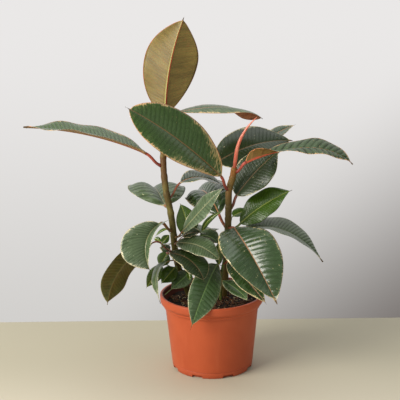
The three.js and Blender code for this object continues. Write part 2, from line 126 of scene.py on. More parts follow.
LEAVES = {
    "leaf_top_upright": leaf_row("stem_left", 354, 83, "top", (0, 1, 0),
        [(-62, 3, 377), (-54, 8, 446), (-33, 10, 512)], lift=(28, 24, 18), belly=(1.2, 1.02), taper=0.45,
        spacing=4.0, quilt=0.2),
    "leaf_front_large": leaf_row("stem_right", 268, 79, "young", (0.1, -0.8, 0.6),
        [(15, -14, 290), (-46, -46, 351), (-112, -72, 399)], left=(30, 16, 5), right=(5, 5, 5),
        belly=(1.25, 0.97), spread=(0.97, 1.0), taper=0.15, quilt=0.4, groove=0.25,
        teeth=[(-1, 0.42, 0.1, 10.0), (1, 0.14, 0.12, 20.0), (-1, 0.2, 0.08, 9.0)]),
    "leaf_far_left": leaf_row("stem_left", 304, 66, "young", (0, 0, 1),
        [(-91, -8, 323), (-172, -14, 352), (-260, -20, 364)], left=(16, 14, 8), right=(20, 16, 12),
        taper=0.0, drip=0.03, spacing=6.0, quilt=0.9, groove=0.45),
    "leaf_back_top": leaf_row("stem_left", 352, 44, "bronze", (0, -0.1, 1),
        [(-44, 14, 378), (30, 46, 379), (79, 62, 359)], left=(4, 5, -8, -50, -75),
        right=(-18, -16, -8, 2, 5), belly=(1.2, 1.1), taper=0.15, drip=0.03, spacing=6.0, quilt=0.6,
        groove=0.4),
    "leaf_right_back": leaf_row("stem_left", 330, 76, "dark", (0, -0.55, 0.83),
        [(10, 34, 300), (66, 58, 321), (124, 76, 323)], left=(4, 4, 4), right=(-14, -6, 0), spacing=6.0,
        quilt=0.3, groove=0.3, teeth=[(-1, 0.5, 0.06, 7.0)]),
    "leaf_right_upper": leaf_row("stem_right", 294, 64, "ribbed", (0, 0, 1),
        [(52, -6, 308), (140, -18, 330), (200, -27, 307)], left=(12, 14, 12), right=(85, 8, -4, -6, -8),
        belly=(1.35, 1.0), spacing=10.0, quilt=1.3, groove=0.9,
        teeth=[(1, 0.3, 0.1, 3.0), (1, 0.6, 0.3, 2.0)]),
    "leaf_back_small": leaf_row("stem_right", 262, 25, "mature", (0, -0.4, 0.9),
        [(60, 78, 308), (98, 96, 329), (131, 108, 342)]),
    "leaf_right_middle": leaf_row("stem_right", 240, 60, "dark", (-0.3, -0.75, 0.6),
        [(38, 4, 257), (68, 16, 291), (102, 26, 319)], lift=(8, 6, 6), spacing=5.0, quilt=0.1,
        groove=0.12),
    "leaf_left_back": leaf_row("stem_left", 243, 86, "grey", (0.12, -0.2, 1),
        [(-66, 8, 243), (-82, 66, 254), (-92, 125, 238)], left=(0, 3, 2), right=(6, 8, 6),
        belly=(0.9, 0.9), bow=0.14, taper=0.2, drip=0.03, spacing=10.0, quilt=1.0, groove=0.6),
    "leaf_centre_upper": leaf_row("stem_left", 256, 42, "mature", (0, -0.2, 1),
        [(-43, 8, 276), (-14, 20, 281), (20, 30, 265)], lift=(10, 10, 8), belly=(1.2, 1.0), spacing=5.0,
        quilt=0.6, groove=0.7),
    "leaf_centre_back": leaf_row("stem_right", 211, 62, "mature", (-0.35, -0.2, 0.9),
        [(12, 8, 229), (-8, 60, 250), (-24, 115, 232)], left=(-5, 4, 2), right=(8, 6, 4), bow=0.14,
        taper=0.2, drip=0.03, spacing=9.0, quilt=0.9, groove=0.8),
    "leaf_centre_front": leaf_row("stem_left", 198, 36, "grey", (-0.5, -0.7, 0.5),
        [(-39, -26, 214), (-11, -46, 251), (19, -52, 283)], left=(-10, -14, -10), right=(24, 14, 20),
        belly=(1.0, 0.9), spacing=5.0, quilt=0.4, groove=0.5),
    "leaf_left_striped": leaf_row("stem_left", 209, 74, "pale", (0, -0.9, 0.45),
        [(-72, -20, 223), (-91, -48, 203), (-86, -58, 164)], left=(70, 70, 60), right=(10, 12, 20),
        belly=(0.5, 1.6), spread=(1.0, 0.96), taper=0.7, spacing=3.6, quilt=0.5, groove=0.6,
        teeth=[(1, 0.7, 0.04, 4.0), (1, 0.86, 0.04, 8.0)]),
    "leaf_left_lowest": leaf_row("stem_left", 174, 60, "dark", (-0.5, 0.8, 0.35),
        [(-84, -22, 195), (-129, -36, 161), (-148, -56, 114)], left=(-20, -10, 0), right=(10, 10, 10),
        belly=(1.25, 1.25), stalk=1.2, groove=0.6),
    "leaf_right_drooping": leaf_row("stem_right", 212, 79, "mature", (0.2, -0.8, 0.6),
        [(34, -20, 214), (60, -66, 182), (90, -96, 126)], left=(18, 26, 24), right=(10, 8, 6),
        belly=(1.0, 0.7), spread=(1.0, 1.0), taper=0.4, spacing=8.0, quilt=1.0, calm=0.3, groove=0.2),
    "leaf_under_drooping": leaf_row("front_shoot", 160, 34, "mature", (0.1, -0.7, 0.7),
        [(26, -20, 166), (48, -52, 150), (77, -80, 120)], lift=(5, 5, 5), spacing=6.0, quilt=0.5),
    "leaf_over_soil": leaf_row("front_shoot", 122, 24, "fresh", (0, -0.5, 0.85),
        [(17, -18, 135), (36, -38, 129), (51, -60, 119)], lift=(5, 5, 5)),
    "leaf_over_rim_front": leaf_row("front_shoot", 146, 45, "fresh", (0.3, -0.8, 0.5),
        [(8, -22, 161), (-11, -67, 134), (-30, -93, 89)], left=(-5, -4, 5), right=(10, 10, 10), drip=0.07,
        spacing=7.0, quilt=0.6, groove=0.2),
    "leaf_centre_dark": leaf_row("stem_left", 173, 42, "dark", (0.3, -0.5, 0.8),
        [(-59, -30, 182), (-28, -52, 176), (-10, -68, 151)], lift=(6, 6, 6), belly=(1.15, 1.15), taper=0.2,
        spacing=4.0, groove=0.5),
    "leaf_centre_grey": leaf_row("stem_left", 188, 34, "grey", (0, -0.6, 0.8),
        [(-49, -18, 193), (-16, -42, 195), (13, -56, 177)], lift=(6, 6, 6), taper=0.25, spacing=4.0,
        quilt=0.3, groove=0.5),
    "leaf_centre_shadow": leaf_row("stem_left", 191, 19, "dark", (0, -0.5, 0.85),
        [(-40, -15, 202), (-27, -18, 208), (-14, -22, 209)], lift=(10, 10, 10)),
    "leaf_shoot_pale": leaf_row("middle_shoot", 184, 25, "fresh", (0.2, -0.8, 0.6),
        [(-16, -6, 200), (-1, -12, 200), (11, -18, 191)], lift=(5, 5, 5)),
    "leaf_shoot_round": leaf_row("middle_shoot", 184, 38, "green", (0, -0.3, 1),
        [(-10, 24, 193), (-6, 50, 195), (8, 80, 184)], lift=(10, 10, 10)),
    "leaf_shoot_young": leaf_row("middle_shoot", 192, 9, "green", (0.3, -0.8, 0.3),
        [(-12, 6, 201), (-4, 3, 220), (20, -2, 237)], lift=(20, 20, 20)),
    "leaf_shoot_upright": leaf_row("stem_left", 188, 30, "green", (0.2, -0.9, 0.2),
        [(-36, -2, 198), (-36, 2, 222), (-44, 4, 247)]),
    "leaf_right_glossy": leaf_row("stem_right", 208, 44, "green", (-0.2, -0.75, 0.65),
        [(43, 0, 216), (75, 8, 240), (119, 14, 262)], belly=(1.3, 0.95)),
    "leaf_right_hidden": leaf_row("stem_right", 226, 20, "green", (0, -0.4, 0.9),
        [(33, 12, 224), (43, 18, 228), (56, 22, 231)]),
    "leaf_right_lower": leaf_row("stem_right", 200, 64, "grey", (0, 0, 1),
        [(50, 4, 206), (110, 7, 202), (164, 0, 157)], left=(18, 18, 14), right=(4, 4, 4), spacing=5.0,
        quilt=0.8, groove=0.7),
    "leaf_over_rim_left": leaf_row("stem_left", 157, 27, "grey", (-0.9, -0.45, 0.3),
        [(-57, -14, 166), (-78, -34, 153), (-73, -56, 115)], drip=0.12),
    "leaf_low_left_plain": leaf_row("stem_left", 147, 22, "green", (0.5, -0.8, 0.3),
        [(-72, -2, 154), (-83, -4, 141), (-96, -6, 121)], lift=(6, 6, 6)),
    "leaf_low_left_dark": leaf_row("stem_left", 140, 28, "fresh", (0, -0.7, 0.7),
        [(-31, -4, 144), (-46, -18, 135), (-69, -38, 120)], lift=(6, 6, 6), drip=0.22),
    "leaf_left_rolled": leaf_row("stem_left", 169, 20, "dark", (0, -0.8, 0.6),
        [(-60, 4, 177), (-67, 6, 179), (-76, 8, 179)], lift=(-35, -35, -35)),
    "leaf_left_olive": leaf_row("stem_left", 161, 20, "green", (-0.1, -0.9, 0.4),
        [(-63, -6, 174), (-69, -8, 166), (-75, -8, 154)], lift=(6, 6, 6)),
    "leaf_left_small_upper": leaf_row("stem_left", 202, 11, "green", (0, -0.3, 1),
        [(-64, -2, 209), (-72, 0, 206), (-81, 2, 198)]),
    "leaf_left_small_lower": leaf_row("stem_left", 188, 12, "green", (0, -0.8, 0.5),
        [(-70, -20, 194), (-65, -20, 200), (-59, -18, 206)]),
    "leaf_sprout_upper": leaf_row("stem_left", 182, 8, "green", (0, -0.5, 0.9),
        [(-46, -10, 186), (-42, -14, 190), (-38, -16, 192)], lift=(10, 10, 10)),
    "leaf_sprout_lower": leaf_row("stem_left", 149, 9, "green", (0, -0.8, 0.5),
        [(-34, -18, 151), (-32, -22, 145), (-31, -25, 138)], lift=(10, 10, 10)),
    "leaf_low_left_bright": leaf_row("stem_left", 146, 26, "green", (0, -0.7, 0.7),
        [(-53, -6, 153), (-62, -14, 144), (-73, -20, 133)], lift=(6, 6, 6)),
    "leaf_left_small_tip": leaf_row("stem_left", 187, 9, "green", (0, -0.8, 0.5),
        [(-73, 0, 189), (-78, 2, 193), (-83, 4, 194)]),
    "leaf_shoot_behind": leaf_row("stem_left", 194, 21, "green", (0, -0.9, 0.2),
        [(-33, 10, 205), (-28, 10, 216), (-23, 12, 232)]),
    "leaf_shoot_front": leaf_row("front_shoot", 156, 13, "green", (0, -0.9, 0.2),
        [(12, -10, 158), (11, -9, 174), (12, -7, 194)], lift=(10, 10, 10)),
}

# Colours shared by the leaf kinds: the dried tips, and the red in pale margins and undersides
TIP_UPPER = (88, 72, 44)
TIP_UNDER = (86, 66, 38)
MARGIN_RED = (214, 112, 66)
UNDERSIDE_RED = (176, 84, 52)

# Camera: stands in front of the plant and looks slightly down
CAMERA_DISTANCE = 1.4
CAMERA_HEIGHT = 0.591
CAMERA_PITCH = 13.61
CAMERA_YAW = -0.61
CAMERA_ROLL = 0.9
CAMERA_LENS = 90

# Stage and light
TABLE_BACK = 0.185
WALL_BACK = 2.6
WORLD_STRENGTH = 0.36
WORLD_SEEN = 0.74
LIT_PLACE = (0, 0, 0.25)
LIGHTS = {
    "key": dict(place=(-1.6, -1.1, 1.25), power=56, size=1.3, colour=(1.0, 0.96, 0.9)),
    "fill": dict(place=(1.6, -1.8, 0.9), power=2.5, size=1.6, colour=(0.95, 0.97, 1.0)),
    "top": dict(place=(0.1, 0.5, 1.9), power=6, size=1.2, colour=(1.0, 1.0, 1.0)),
}


# ---------------------------------------------------------------- small helpers

def srgb(red, green, blue):
    """A colour given as 0-255 screen values, in the linear values that shaders take."""
    def linear(value):
        value /= 255
        return value / 12.92 if value <= 0.04045 else ((value + 0.055) / 1.055) ** 2.4
    return (linear(red), linear(green), linear(blue), 1.0)


def shade(colour, factor):
    """A colour made lighter or darker."""
    return tuple(value * factor for value in colour[:3]) + (1.0,)


def blend_colours(first, second, share):
    """A colour between two."""
    return tuple(a + (b - a) * share for a, b in zip(first[:3], second[:3])) + (1.0,)


class Shader:
    """A principled material and short names for the nodes that feed it."""

    def __init__(self, name, **sockets):
        self.material = bpy.data.materials.new(name)
        self.material.use_nodes = True
        self.tree = self.material.node_tree
        self.principled = self.tree.nodes["Principled BSDF"]
        for socket, value in sockets.items():
            self.principled.inputs[socket.replace("_", " ")].default_value = value

    def node(self, kind, **values):
        made = self.tree.nodes.new(kind)
        for key, value in values.items():
            setattr(made, key, value)
        return made

    def feed(self, socket, value):
        if isinstance(value, bpy.types.NodeSocket):
            self.tree.links.new(value, socket)
        else:
            socket.default_value = value

    def math(self, operation, first, second=0.0, third=0.0):
        made = self.node("ShaderNodeMath", operation=operation)
        for socket, value in zip(made.inputs, (first, second, third)):
            self.feed(socket, value)
        return made.outputs[0]

    def plus(self, first, second):
        return self.math("ADD", first, second)

    def minus(self, first, second):
        return self.math("SUBTRACT", first, second)

    def times(self, first, second):
        return self.math("MULTIPLY", first, second)

    def times_plus(self, first, second, added):
        return self.math("MULTIPLY_ADD", first, second, added)

    def mix(self, share, first, second):
        made = self.node("ShaderNodeMix", data_type="RGBA")
        self.feed(made.inputs["Factor"], share)
        self.feed(made.inputs[6], first)
        self.feed(made.inputs[7], second)
        return made.outputs[2]

    def tint(self, colour, other, value, low, high, share=None):
        """A colour with another laid over it where a value goes from low to high."""
        part = self.step(value, low, high)
        return self.mix(part if share is None else self.times(part, share), colour, other)

    def step(self, value, low, high):
        made = self.node("ShaderNodeMapRange", interpolation_type="SMOOTHSTEP")
        for socket, given in zip(made.inputs, (value, low, high, 0.0, 1.0)):
            self.feed(socket, given)
        return made.outputs[0]

    def noise(self, vector, scale, detail=3.0, roughness=0.55):
        made = self.node("ShaderNodeTexNoise")
        self.feed(made.inputs["Vector"], vector)
        made.inputs["Scale"].default_value = scale
        made.inputs["Detail"].default_value = detail
        made.inputs["Roughness"].default_value = roughness
        return made.outputs["Fac"]

    def uv(self, name):
        return self.node("ShaderNodeUVMap", uv_map=name).outputs[0]

    def place(self):
        return self.node("ShaderNodeTexCoord").outputs["Object"]

    def split(self, vector):
        made = self.node("ShaderNodeSeparateXYZ")
        self.feed(made.inputs[0], vector)
        return made.outputs

    def join(self, x, y, z=0.0):
        made = self.node("ShaderNodeCombineXYZ")
        for socket, value in zip(made.inputs, (x, y, z)):
            self.feed(socket, value)
        return made.outputs[0]

    def colour(self, value):
        self.feed(self.principled.inputs["Base Color"], value)

    def roughness(self, value):
        self.feed(self.principled.inputs["Roughness"], value)

    def bump(self, height, strength, distance):
        made = self.node("ShaderNodeBump")
        made.inputs["Strength"].default_value = strength
        made.inputs["Distance"].default_value = distance
        self.feed(made.inputs["Height"], height)
        self.feed(self.principled.inputs["Normal"], made.outputs[0])


# ---------------------------------------------------------------- materials

def leaf_coordinates(look):
    """Where a point lies on its leaf: its share of the length, millimetres out from the midrib,
    number of the lateral vein, millimetres in from the edge, and the leaf's own number."""
    _, along, _ = look.split(look.uv("leaf"))
    out, vein, _ = look.split(look.uv("flat"))
    edge, seed, _ = look.split(look.uv("edge"))
    out_mm = look.times(out, FLAT_SPAN)
    veins = look.times(vein, FLAT_SPAN)
    edge_mm = look.times(edge, EDGE_SPAN)
    return along, out_mm, veins, edge_mm, look.times(seed, SEED_SPAN)


def streaks(look, out_mm, veins, seed, lateral, per_vein, detail=4.0):
    """Noise drawn out along the lateral veins: lateral is its length in millimetres."""
    place = look.join(look.times(out_mm, 1 / lateral), look.times(veins, per_vein), seed)
    return look.noise(place, 1.0, detail, 0.6)


def vein_lines(look, veins, width):
    """One where a lateral vein runs, falling to nothing at a share of the gap between veins."""
    wave = look.math("ABSOLUTE", look.math("SINE", look.times(veins, math.pi)))
    return look.step(wave, width, 0.0)


def leaf_upper(kind, dark, mid, cream, margin, tooth=0.0, *, vein, gloss, blush=0.0, grey=0.5, coat=0.25):
    """Upper side: dark centre, greyer flanks, a ragged pale margin, streaks along the veins and painted
    shade in the vein grooves.

    margin is the pale edge's usual width in millimetres, tooth how much wider its patches get, and
    grey how much of the flanks is greyer. A margin of 0 leaves the leaf plain green.
    """
    look = Shader("leaf_%s_upper" % kind, Specular_IOR_Level=0.5, Coat_Weight=coat, Coat_Roughness=0.17)
    dark, mid, cream, vein = (srgb(*c) for c in (dark, mid, cream, vein))
    along, out_mm, veins, edge_mm, seed = leaf_coordinates(look)
    ragged = look.step(streaks(look, out_mm, veins, seed, 7.0, 4.0), 0.36, 0.66)
    fine = streaks(look, out_mm, veins, seed, 5.0, 7.0)
    drift = look.step(streaks(look, out_mm, veins, seed, 40.0, 0.3, 2.0), 0.47, 0.64)
    cloud = look.step(streaks(look, out_mm, veins, seed, 16.0, 0.5, 3.0), 0.42, 0.66)
    colour = look.tint(shade(dark, 0.8), shade(dark, 1.25), fine, 0.25, 0.75)
    if margin:
        width = look.times_plus(ragged, margin * 1.1, margin * 0.35)
        tooth_share, groove, _ = look.split(look.uv("tooth"))
        extra = look.times(tooth_share, EDGE_SPAN)
        patch = look.times(ragged, look.times_plus(drift, tooth, extra))
        width = look.plus(width, patch)
        reach = look.times_plus(look.times(cloud, ragged), 14.0, 1.5)
        inside = look.minus(edge_mm, look.plus(width, reach))
        flank = look.times(look.step(inside, 0.8, -0.8), grey)
        colour = look.mix(flank, colour, mid)
        # painted shade in the grooves at the lateral veins, as strong as the leaf's groove says
        depth = look.times(groove, look.times_plus(cloud, -0.7, 1.0))
        pillow = look.times(vein_lines(look, veins, 1.0), depth)
        colour = look.mix(pillow, colour, shade(dark, 0.3))
        look.feed(look.principled.inputs["Specular IOR Level"], look.times_plus(pillow, -0.45, 0.5))
        freckle = look.step(streaks(look, out_mm, veins, seed, 2.2, 2.0, 1.0), 0.74, 0.78)
        colour = look.mix(look.times(freckle, 0.7), colour, cream)
        pale = look.step(look.minus(edge_mm, width), 0.4, -0.2)
        deep = look.step(edge_mm, margin + 1.0, margin + 4.0)
        yellow = look.mix(look.times_plus(deep, 0.75, 0.1), cream, blend_colours(cream, mid, 0.7))
        rim = look.tint(yellow, blend_colours(cream, srgb(*MARGIN_RED), blush), edge_mm, 1.4, 0.2)
        colour = look.mix(pale, colour, rim)
    rib_width = look.times_plus(along, -0.55, 0.95)
    rib = look.step(look.minus(look.math("ABSOLUTE", out_mm), rib_width), 0.25, -0.25)
    colour = look.mix(look.times(rib, 0.85), colour, vein)
    colour = look.tint(colour, srgb(*TIP_UPPER), along, 0.94, 0.975)
    look.colour(colour)
    look.roughness(look.times_plus(fine, 0.24, gloss - 0.12))
    wrinkle = look.times_plus(vein_lines(look, veins, 0.5), -0.6, fine)
    look.bump(wrinkle, 0.45, 0.0005)
    return look.material


def leaf_under(kind, base, edge_colour, vein, red=0.25, rib_left=None):
    """Underside: duller olive-brown with a raised midrib and faint lateral lines.

    rib_left colours the midrib's other half, where that differs.
    """
    look = Shader("leaf_%s_under" % kind, Specular_IOR_Level=0.4)
    base, edge_colour, vein = (srgb(*c) for c in (base, edge_colour, vein))
    along, out_mm, veins, edge_mm, seed = leaf_coordinates(look)
    ragged = streaks(look, out_mm, veins, seed, 8.0, 4.0)
    cloud = streaks(look, out_mm, veins, seed, 25.0, 0.6, 3.0)
    colour = look.tint(shade(base, 1.12), shade(base, 0.78), cloud, 0.35, 0.68)
    reddish = blend_colours(base, srgb(*UNDERSIDE_RED), red)
    colour = look.tint(colour, reddish, ragged, 0.5, 0.75, 0.7)
    limit = look.times_plus(look.step(ragged, 0.5, 0.72), 1.6, 0.4)
    pale = look.step(look.minus(edge_mm, limit), 0.3, -0.2)
    lines = vein_lines(look, veins, 0.35)
    colour = look.mix(look.times(lines, 0.3), colour, blend_colours(base, edge_colour, 0.5))
    colour = look.mix(pale, colour, edge_colour)
    rib_width = look.times_plus(along, -1.3, 2.1)
    rib = look.step(look.minus(look.math("ABSOLUTE", out_mm), rib_width), 0.3, -0.3)
    rib_colour = vein
    if rib_left:
        rib_colour = look.tint(vein, srgb(*rib_left), out_mm, -0.25, 0.25)
    colour = look.mix(rib, colour, rib_colour)
    look.colour(look.tint(colour, srgb(*TIP_UNDER), along, 0.94, 0.975))
    look.roughness(look.times_plus(ragged, 0.2, 0.38))
    look.bump(look.times_plus(lines, 0.7, ragged), 0.3, 0.0005)
    return look.material


def petiole_look(tone, foot, top):
    """Petiole: a smooth stalk that turns from its foot's colour to its top's."""
    foot, top = srgb(*foot), srgb(*top)
    look = Shader("petiole_" + tone, Roughness=0.38, Specular_IOR_Level=0.5)
    _, along, _ = look.split(look.uv("leaf"))
    spots = look.noise(look.place(), 260.0, 3.0)
    colour = look.tint(foot, top, along, 0.0, 1.0)
    look.colour(look.tint(colour, shade(foot, 0.6), spots, 0.5, 0.75, 0.7))
    look.bump(spots, 0.15, 0.0004)
    return look.material


def stem_look(name, low, high, fleck, split_height, spread):
    """Stem bark: low turns to high round the split height, with dark streaks and pale flecks."""
    low, high, fleck = srgb(*low), srgb(*high), srgb(*fleck)
    look = Shader(name, Roughness=0.55, Specular_IOR_Level=0.4)
    place = look.place()
    x, y, z = look.split(place)
    streak = look.noise(look.join(x, y, look.times(z, 0.25)), 420.0, 4.0, 0.6)
    patch = look.noise(place, 45.0, 3.0)
    colour = look.tint(low, high, z, split_height - spread, split_height + spread)
    colour = look.tint(colour, shade(low, 0.5), streak, 0.45, 0.75, 0.65)
    colour = look.tint(colour, fleck, patch, 0.55, 0.7, 0.5)
    look.colour(colour)
    look.bump(streak, 0.5, 0.0006)
    return look.material


def bud_look():
    """Bud sheath: coral red, paler on its ridges and darker at its foot."""
    look = Shader("bud_sheath", Roughness=0.36, Specular_IOR_Level=0.5, Coat_Weight=0.1)
    x, y, z = look.split(look.place())
    streak = look.noise(look.join(x, y, look.times(z, 0.12)), 500.0, 3.0)
    colour = look.tint(srgb(216, 104, 80), srgb(238, 150, 124), streak, 0.35, 0.7)
    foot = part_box("bud_sheath")[0][2]
    look.colour(look.tint(colour, srgb(176, 78, 54), z, foot + 0.016, foot + 0.002))
    look.bump(streak, 0.3, 0.0004)
    return look.material


def pot_look(name, light):
    """Moulded terracotta-coloured plastic with a satin skin, flow marks and a colour a little darker
    towards the foot.

    light darkens the colours: the inside takes 0.3, painted shade for the shade that falls inside the pot.
    """
    look = Shader(name, Specular_IOR_Level=0.35)
    place = look.place()
    x, y, z = look.split(place)
    cloud = look.noise(place, 18.0, 3.0)
    grain = look.noise(place, 900.0, 2.0)
    flow = look.noise(look.join(x, y, look.times(z, 0.1)), 60.0, 3.0)
    colour = look.tint(shade(srgb(184, 84, 46), light), shade(srgb(174, 76, 40), light), cloud, 0.3, 0.75)
    colour = look.tint(colour, shade(srgb(192, 98, 60), light), flow, 0.55, 0.8, 0.3)
    # darker towards the foot
    look.colour(look.tint(colour, shade(srgb(150, 66, 40), light), z, 0.014, 0.0, 0.35))
    look.roughness(look.times_plus(cloud, 0.16, 0.4))
    look.bump(look.plus(grain, flow), 0.06, 0.0005)
    return look.material


def soil_look():
    """Damp potting mix: near-black crumbs with browner and paler bits."""
    look = Shader("soil", Roughness=0.92, Specular_IOR_Level=0.25)
    place = look.place()
    crumbs = look.noise(place, 320.0, 5.0, 0.7)
    bits = look.noise(place, 140.0, 2.0)
    colour = look.tint(srgb(12, 8, 4), srgb(42, 29, 16), crumbs, 0.35, 0.7)
    look.colour(look.tint(colour, srgb(120, 100, 72), bits, 0.66, 0.72))
    look.bump(crumbs, 0.9, 0.0015)
    return look.material


def chip_look(name, first, second):
    """Bark chips and specks that lie on the soil."""
    look = Shader(name, Roughness=0.85, Specular_IOR_Level=0.3)
    grain = look.noise(look.place(), 380.0, 4.0, 0.65)
    look.colour(look.tint(srgb(*first), srgb(*second), grain, 0.3, 0.7))
    look.bump(grain, 0.6, 0.0006)
    return look.material


def table_look():
    """Matt pale paint, lighter towards the front as painted light."""
    look = Shader("table_paint", Roughness=0.6, Specular_IOR_Level=0.2)
    _, y, _ = look.split(look.place())
    # painted light: the paint turns lighter towards the front
    look.colour(look.tint(srgb(184, 178, 156), srgb(216, 208, 188), y, 0.05, -0.3))
    return look.material


# Looks of the leaf kinds: upper side, underside and petiole
KINDS = {
    "young": dict(
        upper=leaf_upper("young", (58, 88, 26), (102, 122, 66), (228, 192, 132), 1.1, 5.0,
                         blush=0.6, vein=(156, 112, 66), gloss=0.28, grey=0.5, coat=0.35),
        under=leaf_under("young", (150, 122, 70), (222, 142, 92), (166, 78, 50), 0.3),
        petiole=petiole_look("red", (122, 52, 42), (178, 82, 60))),
    "mature": dict(
        upper=leaf_upper("mature", (48, 72, 34), (88, 108, 76), (220, 208, 156), 0.6, 2.6,
                         blush=0.2, vein=(176, 128, 88), gloss=0.26, grey=0.45, coat=0.6),
        under=leaf_under("mature", (104, 92, 48), (206, 190, 140), (150, 96, 60), 0.2),
        petiole=petiole_look("brown", (128, 76, 48), (182, 104, 74))),
    "grey": dict(
        upper=leaf_upper("grey", (76, 96, 60), (116, 132, 104), (226, 222, 182), 0.25, 1.4,
                         blush=0.1, vein=(146, 146, 104), gloss=0.36, grey=0.55, coat=0.2),
        under=leaf_under("grey", (116, 96, 54), (206, 196, 150), (150, 110, 70), 0.1),
        petiole=petiole_look("olive", (110, 84, 46), (158, 108, 74))),
    "dark": dict(
        upper=leaf_upper("dark", (36, 54, 20), (66, 86, 44), (222, 214, 168), 0.5, 1.8,
                         blush=0.1, vein=(112, 90, 54), gloss=0.34, grey=0.3, coat=0.08),
        under=leaf_under("dark", (88, 92, 40), (160, 148, 96), (120, 110, 58), 0.15),
        petiole=petiole_look("dark", (110, 66, 46), (164, 100, 84))),
    "fresh": dict(
        upper=leaf_upper("fresh", (62, 88, 46), (118, 138, 104), (206, 206, 160), 0.35, 1.2,
                         blush=0.1, vein=(118, 150, 84), gloss=0.3, grey=0.5),
        under=leaf_under("fresh", (96, 96, 50), (196, 192, 140), (130, 150, 80), 0.1),
        petiole=petiole_look("fresh", (104, 96, 44), (132, 128, 62))),
    "green": dict(
        upper=leaf_upper("green", (64, 94, 22), (96, 124, 44), (170, 170, 90), 0.0,
                         vein=(150, 164, 72), gloss=0.28),
        under=leaf_under("green", (92, 108, 44), (140, 148, 76), (150, 156, 84), 0.05),
        petiole=petiole_look("green", (88, 110, 40), (120, 140, 58))),
}
# pale: the grey kind with a partly lighter blade as painted light, for a leaf turned from the lamps, and
# wider pale margins
KINDS["pale"] = dict(
    KINDS["grey"],
    upper=leaf_upper("pale", (84, 104, 70), (126, 142, 116), (232, 226, 190), 0.7, 3.0,
                     blush=0.1, vein=(150, 150, 108), gloss=0.36, grey=0.6, coat=0.3))
KINDS["bronze"] = dict(
    KINDS["young"],
    under=leaf_under("bronze", (164, 108, 76), (222, 142, 92), (150, 84, 58), 0.35))
KINDS["ribbed"] = dict(
    KINDS["young"],
    upper=leaf_upper("ribbed", (46, 74, 12), (76, 100, 34), (228, 186, 126), 1.1, 3.0,
                     blush=0.5, vein=(150, 104, 60), gloss=0.4, grey=0.4, coat=0.05),
    under=leaf_under("ribbed", (126, 100, 52), (222, 142, 92), (186, 84, 58), 0.3),
    petiole=petiole_look("coral", (150, 60, 48), (210, 96, 78)))
KINDS["top"] = dict(
    KINDS["young"],
    under=leaf_under("top", (120, 106, 52), (214, 118, 72), (178, 66, 44), 0.4,
                     rib_left=(164, 158, 92)))


# ---------------------------------------------------------------- mesh helpers

def mesh_piece(name, verts, faces, materials, slots=None, uvs=None, smooth=True):
    """An object from plain lists; uvs maps a layer's name to one pair for each vertex."""
    data = bpy.data.meshes.new(name)
    data.from_pydata(verts, [], faces)
    for material in materials:
        data.materials.append(material)
    for face, polygon in enumerate(data.polygons):
        polygon.use_smooth = smooth
        if slots:
            polygon.material_index = slots[face]
    for layer_name, pairs in (uvs or {}).items():
        layer = data.uv_layers.new(name=layer_name)
        for loop in data.loops:
            layer.data[loop.index].uv = pairs[loop.vertex_index]
    data.update()
    piece = bpy.data.objects.new(name, data)
    bpy.context.collection.objects.link(piece)
    return piece


def catmull(points, share):
    """A point on a smooth line through the given points, at a share of its length by point count."""
    spans = len(points) - 1
    place = min(max(share, 0.0), 1.0) * spans
    index = min(int(place), spans - 1)
    local = place - index
    before = points[max(index - 1, 0)]
    start, end = points[index], points[index + 1]
    after = points[min(index + 2, spans)]
    return 0.5 * (2 * start + (end - before) * local
                  + (2 * before - 5 * start + 4 * end - after) * local ** 2
                  + (3 * start - before - 3 * end + after) * local ** 3)


def skin_faces(rings, sides):
    """Quads between neighbouring rings of a loft, and a cap at each end."""
    faces = []
    for row in range(rings - 1):
        for side in range(sides):
            after = (side + 1) % sides
            faces.append((row * sides + side, row * sides + after,
                          (row + 1) * sides + after, (row + 1) * sides + side))
    faces.append(tuple(reversed(range(sides))))
    faces.append(tuple((rings - 1) * sides + side for side in range(sides)))
    return faces


# ---------------------------------------------------------------- leaves

def outline(along, belly, taper, drip):
    """Half width of a blade as a share of its widest: an ellipse that ends in a slender drip tip.

    belly moves the widest place towards the tip above 1, taper narrows the far end, and drip is
    the share of the length that the drip tip takes.
    """
    body = min(along ** belly / (1 - drip), 1.0)
    round_part = (4 * body * (1 - body)) ** 0.6 * (1 - taper * max(0.0, 2 * body - 1) ** 2.5)
    slender = 0.04 * min(1.0, (1 - along) / 0.06) if along > 0.5 else 0.0
    return max(round_part, slender)


def spaced(values, along):
    """The value at a share of a leaf's length, between values that are spaced evenly along it."""
    place = along * (len(values) - 1)
    index = min(int(place), len(values) - 2)
    return values[index] + (values[index + 1] - values[index]) * (place - index)


def tooth_width(leaf, across, along):
    """How much wider the pale margin is here, from the leaf's list of side, place, spread and width."""
    extra = 0.0
    for side, place, spread, width in leaf["teeth"]:
        if across * side > 0:
            extra += width * math.exp(-((along - place) / spread) ** 2)
    return extra


def stem_joint(leaf):
    """Where a petiole meets its stem: the centre line's point at its height, and its direction."""
    points = [Vector(p) for p in STEMS[leaf["stem"]]["points"]]
    steps = [catmull(points, step / STEM_SAMPLES) for step in range(STEM_SAMPLES + 1)]
    index = min(range(STEM_SAMPLES + 1), key=lambda i: abs(steps[i].z - leaf["height"]))
    ahead = steps[min(index + 1, STEM_SAMPLES)] - steps[max(index - 1, 0)]
    return steps[index], ahead.normalized()


